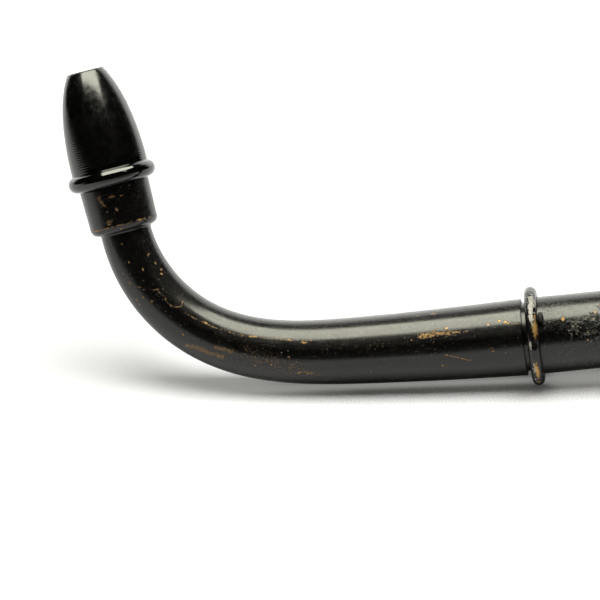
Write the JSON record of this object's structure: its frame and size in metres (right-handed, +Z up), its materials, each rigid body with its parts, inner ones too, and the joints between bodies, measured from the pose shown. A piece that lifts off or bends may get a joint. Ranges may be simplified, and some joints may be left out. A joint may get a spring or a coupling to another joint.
{
  "type": "ear trumpet",
  "caption": "Black-enamelled brass ear trumpet: turned ear tip on a bent tapering neck that turns on a draw tube, which slides in a barrel with a flared oval bell.",
  "frame": {"origin": "on the table, under the middle of the trumpet's box as it lies", "axes": "+X along the barrel towards the bell, +Y to the side that the neck is turned to, +Z up from the table"},
  "size_m": [0.2898, 0.0846, 0.077],
  "materials": {
    "black_enamel": "stoved black enamel on brass, satin, chipped to bare brass",
    "hard_rubber": "turned and polished hard rubber",
    "bare_brass": "dull bare brass",
    "cork": "pale cork"
  },
  "bodies": {
    "barrel": {"barrel_tube": "black_enamel", "barrel_bead": "black_enamel", "bead_solder": "black_enamel", "bell_bead": "black_enamel", "bell": "black_enamel", "bell_rim": "black_enamel"},
    "draw": {"draw_tube": "black_enamel", "draw_stop": "bare_brass"},
    "neck": {"neck_tube": "black_enamel", "tip_ferrule": "black_enamel"},
    "ear_piece": {"ear_tip": "hard_rubber", "tip_cork": "cork"}
  },
  "joints": [
    {"name": "draw_slide", "type": "slide", "parent": "barrel", "child": "draw", "axis": [-0.9974, 0, -0.0715], "range_m": [-0.0007, 0.07]},
    {"name": "neck_swivel", "type": "hinge", "parent": "draw", "child": "neck", "pos_m": [-0.03233, 0, 0.01209], "axis": [0.9974, 0, 0.0715], "continuous": true},
    {"name": "tip_pull", "type": "slide", "parent": "neck", "child": "ear_piece", "axis": [-0.2101, 0.3882, 0.8973], "range_m": [0, 0.01]}
  ]
}
